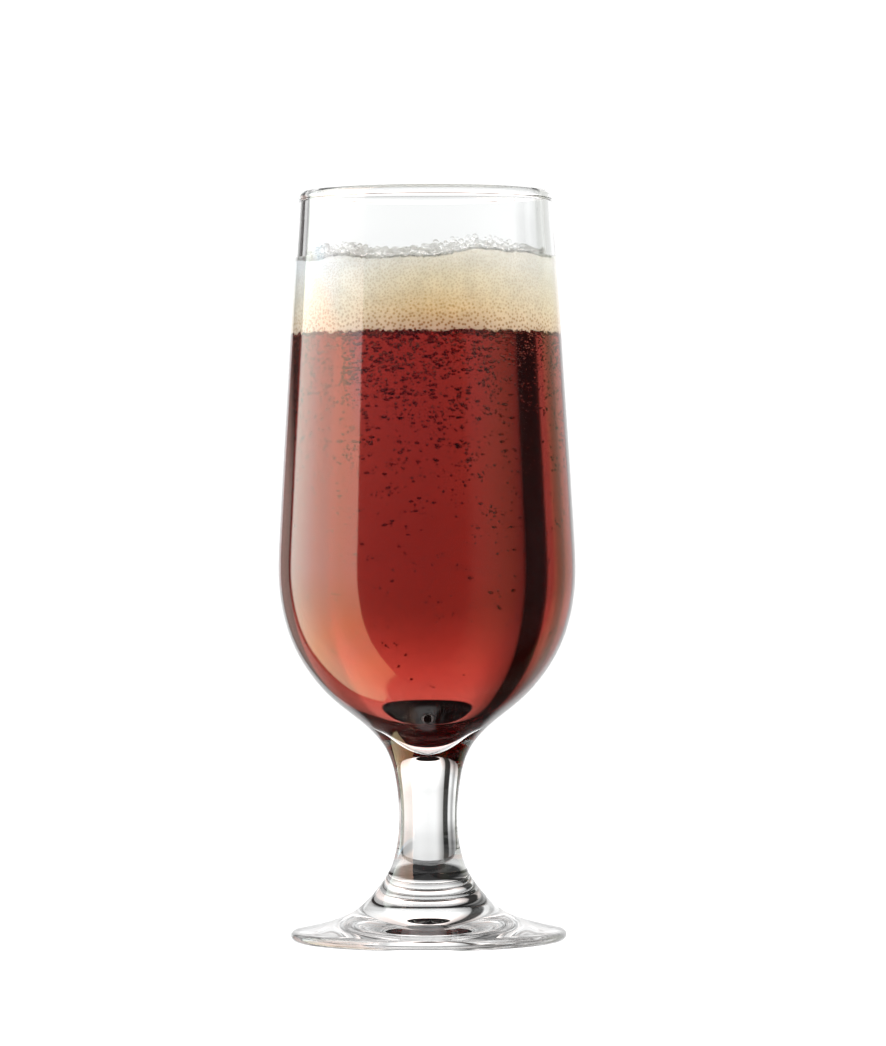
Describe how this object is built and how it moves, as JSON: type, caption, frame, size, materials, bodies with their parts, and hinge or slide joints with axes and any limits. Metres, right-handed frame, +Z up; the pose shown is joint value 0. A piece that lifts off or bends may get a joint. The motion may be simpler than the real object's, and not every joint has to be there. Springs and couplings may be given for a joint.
{
  "type": "footed beer glass",
  "caption": "Footed beer glass with a tall, gently widening bowl, short solid stem and round foot, filled with red ale under a head of foam.",
  "frame": {"origin": "centre of the foot's underside, on the table that the glass stands on", "axes": "+Z up along the glass's axis of revolution, from the foot to the rim; X and Y are any two directions across it"},
  "size_m": [0.0723, 0.0724, 0.182],
  "materials": {
    "clear_glass": "clear, fire-polished",
    "red_ale": "clear dark red liquid",
    "foam": "cream froth of fine bubbles"
  },
  "bodies": {
    "root": {"beer_glass": "clear_glass", "beer": "red_ale", "foam_head": "foam"}
  },
  "joints": []
}
